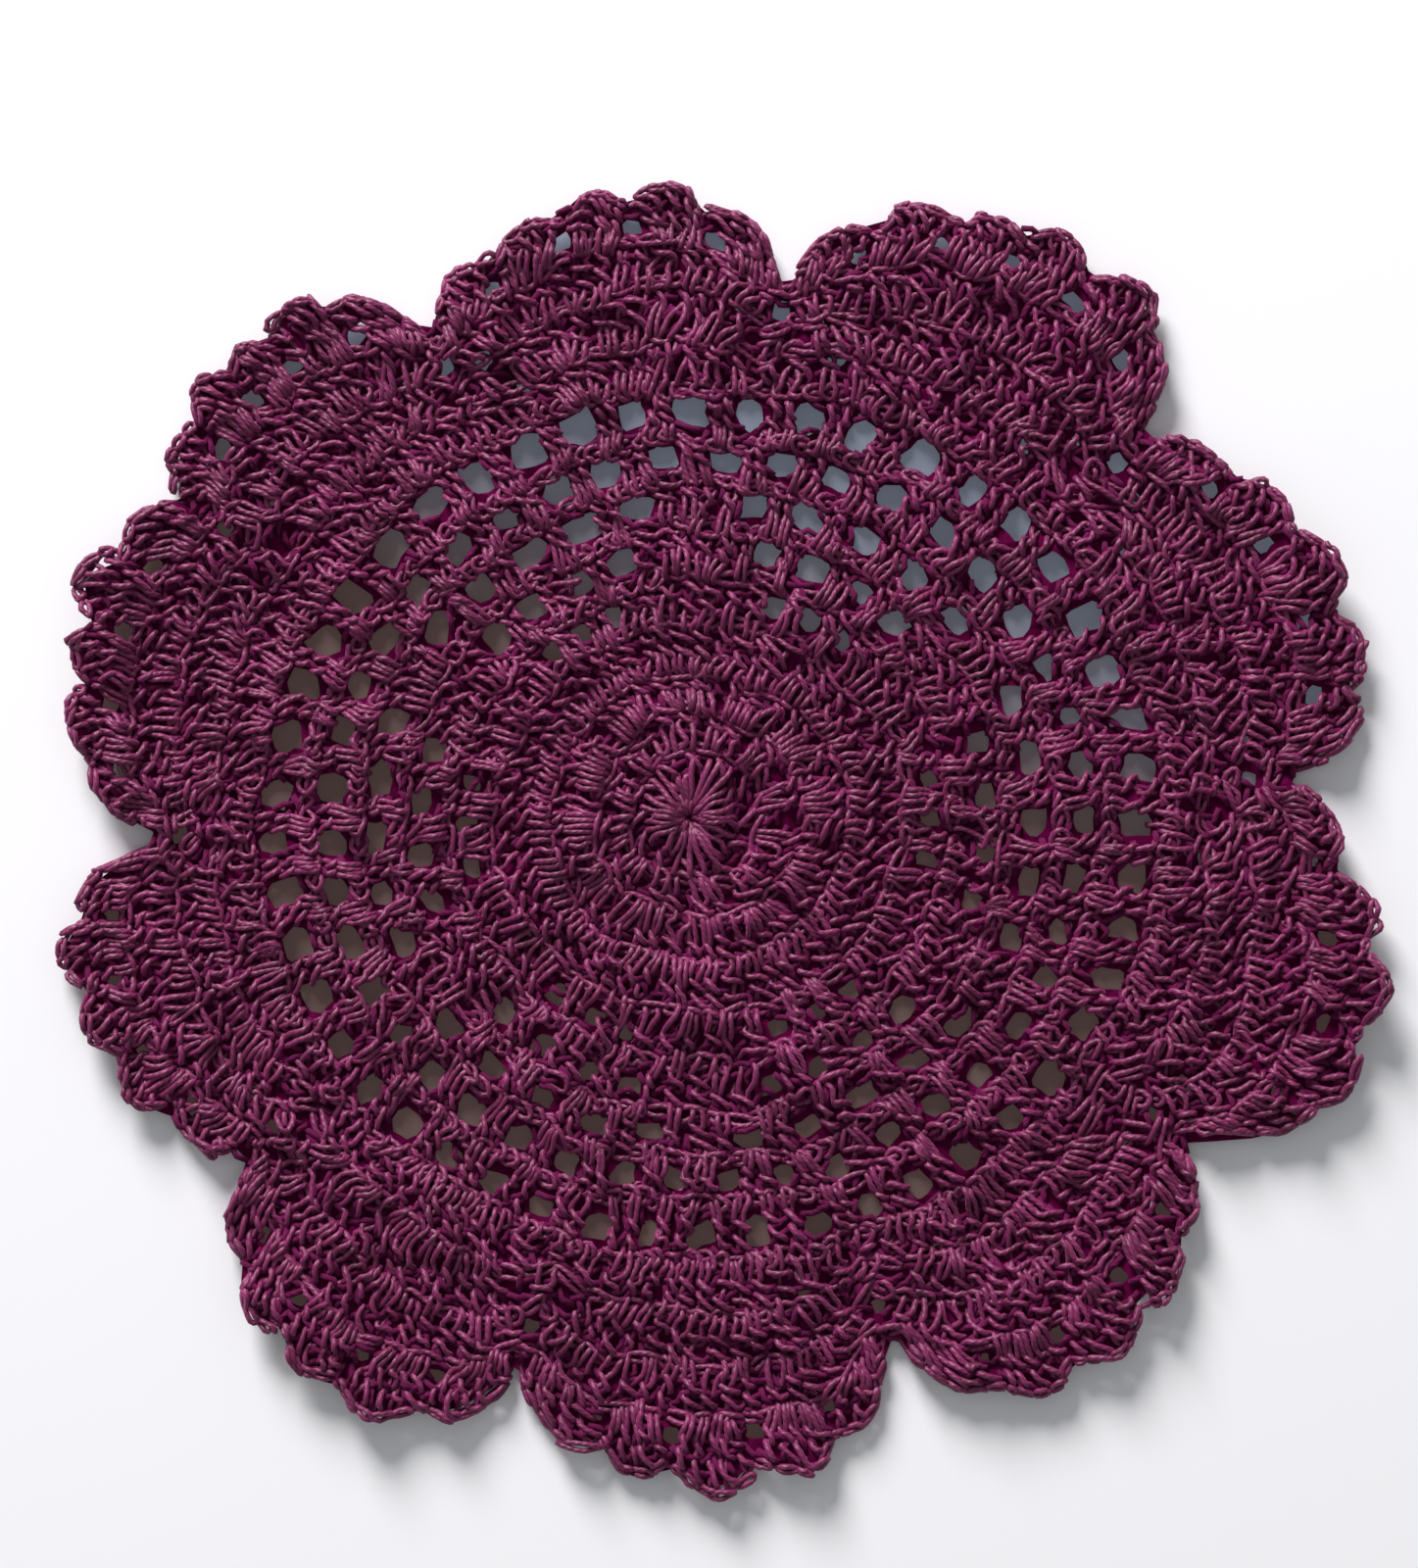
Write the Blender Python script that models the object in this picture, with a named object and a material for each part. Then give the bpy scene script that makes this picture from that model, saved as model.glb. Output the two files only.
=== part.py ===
"""A round crocheted doily of cotton thread, lying flat.

One continuous thread makes the whole thing, so it is one sheet: a close middle that runs out into a
star of six points, five rows of open mesh around the star, and an edge of ten fans trimmed with
small round shells. The rounds aren't true circles and the fans differ, as in hand work.

Metres, +Z up. The origin is the middle of the first round, on the underside.
"""

import math
import random
from collections import namedtuple

import bmesh
import bpy
from mathutils.geometry import delaunay_2d_cdt

MM = 0.001
NODE = "doily"

# Height of the upper face over the underside, in millimetres
RIM = 1.5  # at the edge of an opening and at the outline
VALLEY = 2.0  # halfway up a row of stitches
RIDGE = 2.7  # on the chain that tops each row

# Close rounds of the middle: the outer radius of each, in millimetres
CLOSE_ROUNDS = (10.4, 16.3, 22.9, 30.8)

# The star's six points, in degrees, each starting a sector of mesh that runs to the next
STAR_POINTS = (-147.0, -88.0, -29.0, 28.0, 90.0, 152.0)

# Mesh rows, inside out: radius of the row's middle, height and width of an opening and outer radius
# in millimetres, openings in a sector, pitch in degrees (0 fills the sector) and shift in pitches
MeshRow = namedtuple("MeshRow", "middle height width outer openings pitch shift")
MESH_ROWS = (
    MeshRow(34.2, 3.0, 3.1, 37.7, 3, 10.0, 0.0),
    MeshRow(41.8, 3.5, 4.1, 45.3, 4, 10.4, 0.0),
    MeshRow(48.9, 3.7, 5.2, 52.4, 5, 10.4, 0.0),
    MeshRow(55.9, 3.9, 4.5, 59.3, 7, 0.0, 0.0),
    MeshRow(63.9, 5.0, 4.5, 68.0, 8, 0.0, 0.5),
)
MESH_OUTER = MESH_ROWS[-1].outer

# How far the rounds are pulled out of true: share of the radius, and its direction in degrees
Pull = namedtuple("Pull", "order share direction")
PULLS = (Pull(1, 0.041, -26.0), Pull(2, 0.020, 14.0))

# How far the mesh is drawn round, in degrees, from nothing at one radius to all of it at another
Sway = namedtuple("Sway", "order turn direction")
SWAYS = (Sway(1, 1.2, 160.0), Sway(2, 1.3, -69.0))
SWAY_START = 30.0
SWAY_FULL = 64.0

# Fans, anticlockwise: the notch before each and its radius, the fan's own greatest radius, its
# shells, how far its top leans to one side (-1 to 1), and how far its rim curls up, in millimetres
Fan = namedtuple("Fan", "notch notch_radius tip_radius shells lean curl")
FANS = (
    Fan(-32.9, 90.0, 109.0, 5, -0.25, 3.0),
    Fan(3.5, 91.2, 105.5, 5, -0.30, 2.5),
    Fan(39.8, 91.4, 105.5, 6, -0.25, 1.5),
    Fan(80.2, 83.0, 97.0, 5, -0.15, 1.0),
    Fan(118.8, 84.0, 100.3, 5, 0.00, 1.2),
    Fan(148.5, 93.0, 99.0, 5, -0.25, 3.0),
    Fan(182.3, 82.7, 98.8, 5, -0.20, 1.5),
    Fan(216.9, 86.5, 104.5, 5, 0.15, 2.5),
    Fan(252.5, 88.5, 103.2, 5, 0.00, 1.0),
    Fan(291.1, 86.0, 104.6, 5, -0.10, 2.0),
)
FULL_TURN = 360.0

# Shape of a fan's top: 0.5 is half an ellipse, more is nearer a point
CROWN_POWER = 0.66

# Rounds of the fans, as shares of the way from the mesh to the outline
FAN_ROUNDS = (0.22, 0.45, 0.68)
CURL_START = 0.35
NOTCH_CURL = 0.3  # share of a fan's curl that is left at its notches

# Shells: depth of the dip between two, and points along each, its shared end left out
SHELL_DIP = 3.0
SHELL_POINTS = 5
SHELL_MIDDLE = 0.88  # share of the way to the outline

# Small openings of the edge: between the shells, and in a V that runs down from each notch
SHELL_GAP = 0.75
SHELL_GAP_SIZE = (2.5, 2.9)
NotchGap = namedtuple("NotchGap", "share offset height width")
NOTCH_GAPS = (
    NotchGap(0.64, 0.0, 2.6, 2.4),
    NotchGap(0.42, -4.2, 2.5, 2.6),
    NotchGap(0.42, 4.2, 2.5, 2.6),
    NotchGap(0.19, -7.9, 2.3, 2.8),
    NotchGap(0.19, 7.9, 2.3, 2.8),
)

# Corners of an opening, and how uneven the openings are
MESH_CORNERS = 6
SMALL_CORNERS = 5
SQUARENESS = 0.75  # 1 is an ellipse, less is nearer a box
SIZE_SPREAD = 0.10
TILT_SPREAD = 9.0  # degrees
PLACE_SPREAD = 0.25  # millimetres
SEED = 24

# Points that carry the relief, in millimetres
RELIEF_STEP = 4.4
MESH_RELIEF_STEP = 6.4
RELIEF_CLEARANCE = 0.8
RELIEF_EDGE = 1.3

THREAD_COLOUR = (0.17, 0.02, 0.075, 1.0)


def fan_at(angle):
    """The fan at an angle, the next one, and the place across it: -1 and 1 at its two notches."""
    for index, fan in enumerate(FANS):
        after = FANS[(index + 1) % len(FANS)]
        width = (after.notch - fan.notch) % FULL_TURN
        turn = (angle - fan.notch) % FULL_TURN
        if turn < width:
            return fan, after, 2.0 * turn / width - 1.0
    raise ValueError("the fans leave a gap")


def pulled(radius, angle):
    """A round's radius at an angle, out of true as the rounds are."""
    share = sum(p.share * math.cos(math.radians(p.order * angle - p.direction)) for p in PULLS)
    return radius * (1.0 + share)


def crown_radius(angle):
    """Radius of the even curve over the shells, from notch to notch."""
    fan, after, across = fan_at(angle)
    leaning = (across - fan.lean) / (1.0 - fan.lean * across)
    foot = fan.notch_radius + (after.notch_radius - fan.notch_radius) * (across + 1.0) / 2.0
    return foot + (fan.tip_radius - foot) * max(0.0, 1.0 - leaning * leaning) ** CROWN_POWER


def outline_radius(angle):
    """Radius of the outline, which dips between the shells."""
    fan, _, across = fan_at(angle)
    turn = math.pi * fan.shells * (across + 1.0) / 2.0
    dip = SHELL_DIP * (1.0 - math.sqrt(abs(math.sin(turn))))
    return crown_radius(angle) - dip * math.sqrt(max(0.0, 1.0 - across * across))


def edge_radius(share, angle):
    """Radius at a share of the way from the mesh to the curve over the shells."""
    start = pulled(MESH_OUTER, angle)
    return start + share * (crown_radius(angle) - start)


def spot(radius, angle):
    """The plan point at a true radius and angle."""
    turn = math.radians(angle)
    return radius * math.cos(turn), radius * math.sin(turn)


def curl(x, y):
    """Height of the underside over the surface that the doily lies on."""
    angle = math.degrees(math.atan2(y, x))
    start = pulled(MESH_OUTER, angle)
    share = (math.hypot(x, y) - start) / (crown_radius(angle) - start)
    rise = min(max((share - CURL_START) / (1.0 - CURL_START), 0.0), 1.0)
    fan, after, across = fan_at(angle)
    middle = math.cos(math.pi * across / 2.0)
    notch_curl = NOTCH_CURL * min(fan.curl, after.curl, FANS[FANS.index(fan) - 1].curl)
    return (notch_curl + (fan.curl - notch_curl) * middle) * rise * rise * (3.0 - 2.0 * rise)


def swayed(radius, angle):
    """An angle in the mesh, drawn round a little as the rows are, and most at the outermost."""
    weight = (radius - SWAY_START) / (SWAY_FULL - SWAY_START)
    return angle + weight * sum(s.turn * math.cos(math.radians(s.order * angle - s.direction)) for s in SWAYS)


def mesh_row_angles(row):
    """Angles of all the openings in a mesh row, worked out from the star's points."""
    angles = []
    for index, start in enumerate(STAR_POINTS):
        sector = (STAR_POINTS[(index + 1) % len(STAR_POINTS)] - start) % FULL_TURN
        pitch = row.pitch or sector / row.openings
        first = start + sector / 2.0 - pitch * ((row.openings - 1) / 2.0 + row.shift)
        angles += [first + pitch * number for number in range(row.openings)]
    return sorted(swayed(row.middle, angle) % FULL_TURN for angle in angles)


def opening(radius, angle, height, width, corners, dice):
    """Plan points of one opening: a rounded box, a little uneven."""
    middle_x, middle_y = spot(radius + dice.uniform(-1, 1) * PLACE_SPREAD, angle)
    half_height = height / 2.0 * (1.0 + dice.uniform(-1, 1) * SIZE_SPREAD)
    half_width = width / 2.0 * (1.0 + dice.uniform(-1, 1) * SIZE_SPREAD)
    lie = math.radians(angle + dice.uniform(-1, 1) * TILT_SPREAD)
    points = []
    for corner in range(corners):
        turn = 2.0 * math.pi * (corner + 0.5) / corners
        out = math.copysign(abs(math.cos(turn)) ** SQUARENESS, math.cos(turn)) * half_height
        along = math.copysign(abs(math.sin(turn)) ** SQUARENESS, math.sin(turn)) * half_width
        points.append((
            middle_x + out * math.cos(lie) - along * math.sin(lie),
            middle_y + out * math.sin(lie) + along * math.cos(lie),
        ))
    return points


def mesh_openings(dice):
    openings = []
    for row in MESH_ROWS:
        for angle in mesh_row_angles(row):
            radius = pulled(row.middle, angle)
            openings.append(opening(radius, angle, row.height, row.width, MESH_CORNERS, dice))
    return openings


def edge_openings(dice):
    """The small openings between the shells and below the notches."""
    openings = []
    for index, fan in enumerate(FANS):
        width = (FANS[(index + 1) % len(FANS)].notch - fan.notch) % FULL_TURN
        for gap in range(1, fan.shells):
            angle = fan.notch + width * gap / fan.shells
            radius = edge_radius(SHELL_GAP, angle)
            openings.append(opening(radius, angle, *SHELL_GAP_SIZE, SMALL_CORNERS, dice))
        for gap in NOTCH_GAPS:
            angle = fan.notch + gap.offset
            radius = edge_radius(gap.share, angle)
            openings.append(opening(radius, angle, gap.height, gap.width, SMALL_CORNERS, dice))
    return openings


def outline():
    """Plan points of the outline, shell by shell."""
    points = []
    for index, fan in enumerate(FANS):
        width = (FANS[(index + 1) % len(FANS)].notch - fan.notch) % FULL_TURN
        steps = fan.shells * SHELL_POINTS
        for step in range(steps):
            angle = fan.notch + width * step / steps
            points.append(spot(outline_radius(angle), angle))
    return points


def ring_points(radius, step, height):
    """Relief points along one round, at a height."""
    count = max(6, round(2.0 * math.pi * radius / step))
    angles = [FULL_TURN * number / count for number in range(count)]
    return [(*spot(pulled(radius, angle), angle), height) for angle in angles]


def post_points(row):
    """Relief points on the posts between a mesh row's openings and across the star's points."""
    points = []
    angles = mesh_row_angles(row)
    for index, angle in enumerate(angles):
        turn = (angles[(index + 1) % len(angles)] - angle) % FULL_TURN
        count = max(1, int(math.radians(turn) * row.middle / RELIEF_STEP) - 1)
        for number in range(count):
            between = angle + turn * (number + 1) / (count + 1)
            points.append((*spot(pulled(row.middle, between), between), VALLEY))
    return points


def edge_ring_points(share, height):
    """Relief points along one round of the fans, at a height."""
    count = round(2.0 * math.pi * (MESH_OUTER + share * MESH_OUTER / 2.0) / MESH_RELIEF_STEP)
    angles = [FULL_TURN * number / count for number in range(count)]
    return [(*spot(edge_radius(share, angle), angle), height) for angle in angles]


def shell_points():
    """A relief point on the middle of each shell."""
    points = []
    for index, fan in enumerate(FANS):
        width = (FANS[(index + 1) % len(FANS)].notch - fan.notch) % FULL_TURN
        for shell in range(fan.shells):
            angle = fan.notch + width * (shell + 0.5) / fan.shells
            points.append((*spot(edge_radius(SHELL_MIDDLE, angle), angle), RIDGE))
    return points


def relief_points(openings):
    """All the points that shape the upper face, each clear of the openings and the outline."""
    points = [(0.0, 0.0, VALLEY)]
    inner = 0.0
    for outer in CLOSE_ROUNDS:
        points += ring_points((inner + outer) / 2.0, RELIEF_STEP, VALLEY)
        points += ring_points(outer, RELIEF_STEP, RIDGE)
        inner = outer
    for row in MESH_ROWS:
        points += post_points(row)
        points += ring_points(row.outer, MESH_RELIEF_STEP, RIDGE)
    inner = 0.0
    for share in FAN_ROUNDS:
        points += edge_ring_points((inner + share) / 2.0, VALLEY)
        points += edge_ring_points(share, RIDGE)
        inner = share
    points += shell_points()
    return [point for point in points if is_clear(point, openings)]


def is_clear(point, openings):
    """Whether a point lies on the crochet, off every opening and off the outline."""
    x, y, _ = point
    if math.hypot(x, y) > outline_radius(math.degrees(math.atan2(y, x))) - RELIEF_EDGE:
        return False
    for loop in openings:
        middle_x = sum(corner[0] for corner in loop) / len(loop)
        middle_y = sum(corner[1] for corner in loop) / len(loop)
        reach = max(math.hypot(cx - middle_x, cy - middle_y) for cx, cy in loop)
        if math.hypot(x - middle_x, y - middle_y) < reach + RELIEF_CLEARANCE:
            return False
    return True


def closed_loop(first, count):
    """The edges of a loop of points that are numbered from first."""
    return [(first + number, first + (number + 1) % count) for number in range(count)]


def crochet_sheet():
    """The sheet's plan as corners with the height of the upper face, and its triangles."""
    dice = random.Random(SEED)
    loops = [outline()] + mesh_openings(dice) + edge_openings(dice)
    corners = []
    edges = []
    opening_of = []
    for number, loop in enumerate(loops):
        edges += closed_loop(len(corners), len(loop))
        corners += [(x, y, RIM) for x, y in loop]
        opening_of += [number] * len(loop)
    relief = relief_points(loops[1:])
    corners += relief
    opening_of += [0] * len(relief)
    plan = [(x, y) for x, y, _ in corners]
    places, _, faces, sources, _, _ = delaunay_2d_cdt(plan, edges, [], 1, 1e-5)
    heights = [corners[source[0]][2] for source in sources]
    owners = [opening_of[source[0]] for source in sources]
    kept = []
    for face in faces:
        owner = owners[face[0]]
        in_opening = owner > 0 and all(owners[corner] == owner for corner in face)
        if not in_opening:
            kept.append(face)
    return [(place[0], place[1]) for place in places], heights, kept


def crochet_mesh():
    """The closed sheet: a flat underside that curls up at the fans, walls, and the raised face."""
    places, heights, faces = crochet_sheet()
    bm = bmesh.new()
    height_of = bm.verts.layers.float.new("height")
    lower = [bm.verts.new((x * MM, y * MM, 0.0)) for x, y in places]
    for vert, height in zip(lower, heights):
        vert[height_of] = height
    for face in faces:
        bm.faces.new([lower[corner] for corner in face])
    raised = bmesh.ops.extrude_face_region(bm, geom=bm.faces[:])
    for item in raised["geom"]:
        if isinstance(item, bmesh.types.BMVert):
            item.co.z = item[height_of] * MM
    bm.verts.layers.float.remove(height_of)
    for vert in bm.verts:
        vert.co.z += curl(vert.co.x / MM, vert.co.y / MM) * MM
    bmesh.ops.recalc_face_normals(bm, faces=bm.faces[:])
    mesh = bpy.data.meshes.new(NODE)
    bm.to_mesh(mesh)
    bm.free()
    return mesh


def thread_material():
    material = bpy.data.materials.new("burgundy_cotton")
    material.use_nodes = True
    shader = material.node_tree.nodes["Principled BSDF"]
    shader.inputs["Base Color"].default_value = THREAD_COLOUR
    shader.inputs["Roughness"].default_value = 0.6
    shader.inputs["Metallic"].default_value = 0.0
    return material


def main():
    for old in list(bpy.data.objects):
        bpy.data.objects.remove(old)
    collection = bpy.data.collections.new("crocheted_doily")
    bpy.context.scene.collection.children.link(collection)
    doily = bpy.data.objects.new(NODE, crochet_mesh())
    doily.data.materials.append(thread_material())
    collection.objects.link(doily)


main()
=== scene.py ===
"""Looks of a crocheted doily: its one cotton thread, stitch by stitch, round by round.

Each round is a tube that follows the thread through every tall stitch and chain of that round. Short
deep strands and a thin web lie inside the stitches, where the real thread is packed too close to see
through; both are coloured darker than the thread, as painted shade deep in the work. Sizes are in
millimetres on the plan, and become metres in the meshes.
"""

import math
from collections import namedtuple

import bpy
import numpy as np
from mathutils.geometry import delaunay_2d_cdt
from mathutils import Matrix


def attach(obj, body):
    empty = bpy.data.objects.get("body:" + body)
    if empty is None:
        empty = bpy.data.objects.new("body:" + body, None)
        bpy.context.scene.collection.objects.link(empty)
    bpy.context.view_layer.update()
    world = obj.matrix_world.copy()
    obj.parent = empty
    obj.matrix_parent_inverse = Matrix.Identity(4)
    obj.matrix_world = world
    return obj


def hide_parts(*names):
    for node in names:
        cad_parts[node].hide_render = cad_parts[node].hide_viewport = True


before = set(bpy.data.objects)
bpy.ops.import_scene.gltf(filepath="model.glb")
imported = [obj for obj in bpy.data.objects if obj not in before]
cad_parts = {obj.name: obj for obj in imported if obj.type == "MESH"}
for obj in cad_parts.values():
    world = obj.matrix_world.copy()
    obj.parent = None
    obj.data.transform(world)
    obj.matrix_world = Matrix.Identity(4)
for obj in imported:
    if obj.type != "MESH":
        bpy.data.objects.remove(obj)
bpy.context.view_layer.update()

MM = 0.001
NODE = "doily"
BODY = "root"
FULL_TURN = 360.0
SMALL_TURN = 0.2
DICE = np.random.default_rng(7)

# Plan of the doily, as in its solid: close rounds, star, mesh rows, pull and fans
CLOSE_ROUNDS = (10.4, 16.3, 22.9, 30.8)
STAR_POINTS = (-147.0, -88.0, -29.0, 28.0, 90.0, 152.0)
MeshRow = namedtuple("MeshRow", "middle height width outer openings pitch shift")
MESH_ROWS = (
    MeshRow(34.2, 3.0, 3.1, 37.7, 3, 10.0, 0.0),
    MeshRow(41.8, 3.5, 4.1, 45.3, 4, 10.4, 0.0),
    MeshRow(48.9, 3.7, 5.2, 52.4, 5, 10.4, 0.0),
    MeshRow(55.9, 3.9, 4.5, 59.3, 7, 0.0, 0.0),
    MeshRow(63.9, 5.0, 4.5, 68.0, 8, 0.0, 0.5),
)
MESH_OUTER = MESH_ROWS[-1].outer
Pull = namedtuple("Pull", "order share direction")
PULLS = (Pull(1, 0.041, -26.0), Pull(2, 0.020, 14.0))
Sway = namedtuple("Sway", "order turn direction")
SWAYS = (Sway(1, 1.2, 160.0), Sway(2, 1.3, -69.0))
SWAY_START = 30.0
SWAY_FULL = 64.0
Fan = namedtuple("Fan", "notch notch_radius tip_radius shells lean curl")
FANS = (
    Fan(-32.9, 90.0, 109.0, 5, -0.25, 3.0),
    Fan(3.5, 91.2, 105.5, 5, -0.30, 2.5),
    Fan(39.8, 91.4, 105.5, 6, -0.25, 1.5),
    Fan(80.2, 83.0, 97.0, 5, -0.15, 1.0),
    Fan(118.8, 84.0, 100.3, 5, 0.00, 1.2),
    Fan(148.5, 93.0, 99.0, 5, -0.25, 3.0),
    Fan(182.3, 82.7, 98.8, 5, -0.20, 1.5),
    Fan(216.9, 86.5, 104.5, 5, 0.15, 2.5),
    Fan(252.5, 88.5, 103.2, 5, 0.00, 1.0),
    Fan(291.1, 86.0, 104.6, 5, -0.10, 2.0),
)
CROWN_POWER = 0.66
FAN_ROUNDS = (0.22, 0.45, 0.68)
CURL_START = 0.35
NOTCH_CURL = 0.3
SHELL_DIP = 3.0
SHELL_GAP = 0.75
SHELL_GAP_SIZE = (2.5, 2.9)
NotchGap = namedtuple("NotchGap", "share offset height width")
NOTCH_GAPS = (
    NotchGap(0.64, 0.0, 2.6, 2.4),
    NotchGap(0.42, -4.2, 2.5, 2.6),
    NotchGap(0.42, 4.2, 2.5, 2.6),
    NotchGap(0.19, -7.9, 2.3, 2.8),
    NotchGap(0.19, 7.9, 2.3, 2.8),
)

# The thread, in millimetres
THREAD_RADIUS = 0.45
THREAD_SWELL = 0.10
MIDDLE_HEIGHT = 1.45  # of the thread's middle over the surface, halfway through the sheet
LIFT = 0.68  # from there to the strands on either face
STITCH_PITCH = 3.3
LINK_LENGTH = 2.5

# One tall stitch: along the round in pitches, up its height, and out of the sheet in lifts
STITCH_TOP = (
    (-0.96, 0.96, 0.0), (-0.70, 0.91, 0.9), (-0.34, 0.895, 1.3), (0.04, 0.92, 1.2), (0.24, 0.99, 0.5),
    (0.06, 1.06, 0.3), (-0.28, 1.085, 0.8), (-0.64, 1.075, 0.7), (-0.94, 1.00, -0.2),
)
STITCH_END = ((0.06, 0.28, -1.0), (-0.10, 0.54, 0.2), (-0.24, 0.74, 0.4), (-0.10, 0.86, -0.6))
SHORT_STITCH = np.array((
    *STITCH_TOP,
    # behind its top, to the strand that wraps its post
    (-0.60, 0.88, -1.0), (0.10, 0.84, -1.0),
    (0.34, 0.78, 0.4), (0.20, 0.70, 1.6), (-0.10, 0.58, 1.7), (-0.36, 0.48, 0.7),
    # down behind, and the loop round the stitch below
    (-0.24, 0.16, -1.0), (-0.22, -0.11, -0.6),
    (-0.24, -0.12, 0.9), (-0.22, 0.04, 1.9), (-0.24, 0.24, 1.7), (-0.18, 0.46, 0.9),
    (0.02, 0.58, 0.4), (0.20, 0.48, 1.0), (0.26, 0.26, 1.7),
    (0.28, 0.04, 1.9), (0.30, -0.10, 1.0), (0.20, -0.08, -0.8),
    *STITCH_END,
))
TALL_STITCH = np.array((
    *STITCH_TOP,
    # behind its top, to the strand that wraps its post twice
    (-0.60, 0.88, -1.0), (0.10, 0.84, -1.0),
    (0.40, 0.80, 0.5), (0.18, 0.745, 1.6), (-0.16, 0.65, 1.7), (-0.38, 0.57, 0.7),
    (-0.20, 0.54, -1.0), (0.24, 0.55, -0.8),
    (0.38, 0.50, 0.7), (0.16, 0.43, 1.7), (-0.18, 0.34, 1.7), (-0.38, 0.27, 0.7),
    # down behind, and the loop round the stitch below
    (-0.24, 0.10, -1.0), (-0.16, -0.11, -0.6),
    (-0.16, -0.12, 0.9), (-0.14, 0.03, 1.9), (-0.26, 0.17, 1.5), (-0.30, 0.31, 0.7),
    (-0.06, 0.40, 0.3), (0.14, 0.34, 0.8), (0.26, 0.20, 1.5),
    (0.34, 0.04, 1.9), (0.36, -0.10, 1.0), (0.24, -0.08, -0.8),
    *STITCH_END,
))
WRAPPED_TWICE_FROM = 7.4
USUAL_HEIGHT = 7.2  # the top and the foot keep their size in a stitch of any height
TOP_FROM = 0.85
FOOT_TO = 0.15

# One link of a chain: along it in links, across it in millimetres, and out of the sheet in lifts
CHAIN_LINK = np.array((
    (0.00, 0.00, -0.6), (0.20, -0.85, 0.2), (0.64, -1.10, 1.0), (1.04, -0.75, 1.5),
    (1.20, -0.05, 1.7), (1.02, 0.70, 1.6), (0.62, 1.15, 1.1), (0.20, 0.85, 0.3), (0.02, 0.25, -0.4),
    (0.28, 0.05, 0.7), (0.72, -0.02, 0.9),
))
STITCH_WOBBLE = np.array((0.065, 0.028, 0.20))
STITCH_SPREAD = 0.14
STITCH_LEAN = 0.22
LINK_WOBBLE = np.array((0.06, 0.12, 0.16))

# Sampling of the thread's tube
TUBE_SIDES = 5
CURVE_STEPS = 6
STRAIGHT_STEP = 1.5
RINGS_A_TURN = 4.4
SWELL_STEP = 1.6

# Plan functions. Angles are in degrees, and every function takes arrays
NOTCH_TURNS = np.array([fan.notch - FANS[0].notch for fan in FANS])
FAN_WIDTHS = np.diff(np.append(NOTCH_TURNS, FULL_TURN))


def fan_facts(angle):
    """Foot radius, tip radius, place across (-1 to 1) and the fan's index at each angle."""
    turn = (np.asarray(angle, float) - FANS[0].notch) % FULL_TURN
    index = np.searchsorted(NOTCH_TURNS, turn, side="right") - 1
    after = (index + 1) % len(FANS)
    across = 2.0 * (turn - NOTCH_TURNS[index]) / FAN_WIDTHS[index] - 1.0
    notch_radii = np.array([fan.notch_radius for fan in FANS])
    foot = notch_radii[index] + (notch_radii[after] - notch_radii[index]) * (across + 1.0) / 2.0
    tip = np.array([fan.tip_radius for fan in FANS])[index]
    return foot, tip, across, index


def pulled(radius, angle):
    """A round's radius at an angle, out of true as the rounds are."""
    angle = np.asarray(angle, float)
    share = sum(p.share * np.cos(np.radians(p.order * angle - p.direction)) for p in PULLS)
    return radius * (1.0 + share)


def crown_radius(angle):
    """Radius of the even curve over the shells, from notch to notch."""
    foot, tip, across, index = fan_facts(angle)
    lean = np.array([fan.lean for fan in FANS])[index]
    leaning = (across - lean) / (1.0 - lean * across)
    return foot + (tip - foot) * np.maximum(0.0, 1.0 - leaning * leaning) ** CROWN_POWER


def outline_radius(angle):
    """Radius of the outline, which dips between the shells."""
    _, _, across, index = fan_facts(angle)
    shells = np.array([fan.shells for fan in FANS])[index]
    dip = SHELL_DIP * (1.0 - np.sqrt(np.abs(np.sin(np.pi * shells * (across + 1.0) / 2.0))))
    return crown_radius(angle) - dip * np.sqrt(np.maximum(0.0, 1.0 - across * across))


def edge_radius(share, angle):
    """Radius at a share of the way from the mesh to the curve over the shells."""
    start = pulled(MESH_OUTER, angle)
    return start + share * (crown_radius(angle) - start)


def spot(radius, angle):
    """Plan points at true radii and angles, along the last axis."""
    turn = np.radians(np.asarray(angle, float))
    return np.stack((radius * np.cos(turn), radius * np.sin(turn)), axis=-1)


def curl(x, y):
    """Height of the sheet's underside over the surface that it lies on."""
    angle = np.degrees(np.arctan2(y, x))
    start = pulled(MESH_OUTER, angle)
    share = (np.hypot(x, y) - start) / (crown_radius(angle) - start)
    rise = np.clip((share - CURL_START) / (1.0 - CURL_START), 0.0, 1.0)
    _, _, across, index = fan_facts(angle)
    curls = np.array([fan.curl for fan in FANS])
    least = np.minimum(np.minimum(curls, np.roll(curls, -1)), np.roll(curls, 1))[index]
    notch_curl = NOTCH_CURL * least
    middle = np.cos(np.pi * across / 2.0)
    return (notch_curl + (curls[index] - notch_curl) * middle) * rise * rise * (3.0 - 2.0 * rise)


# Unevenness of the work: waves across the plan, each with its length and how far it shifts the
# crochet along each axis and up, in millimetres
Wave = namedtuple("Wave", "length way phase along up")
WAVE_COUNT = 16
WAVE_LENGTHS = (4.5, 36.0)
WAVE_SHIFT = 0.011  # of a wave's length
WAVE_RISE = 0.20  # of the shortest wave, in millimetres
RISE_POWER = 0.25  # how fast longer waves rise more
LEAST_LIFT = 0.5
MOST_LIFT = 1.2


def make_waves():
    waves = []
    for length in np.geomspace(*WAVE_LENGTHS, WAVE_COUNT):
        way, heading = DICE.uniform(0.0, math.tau, 2)
        along = np.array((math.cos(heading), math.sin(heading))) * length * WAVE_SHIFT
        rise = WAVE_RISE * (length / WAVE_LENGTHS[0]) ** RISE_POWER
        waves.append(Wave(length, way, DICE.uniform(0.0, math.tau), along, rise))
    return waves


WAVES = make_waves()


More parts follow.
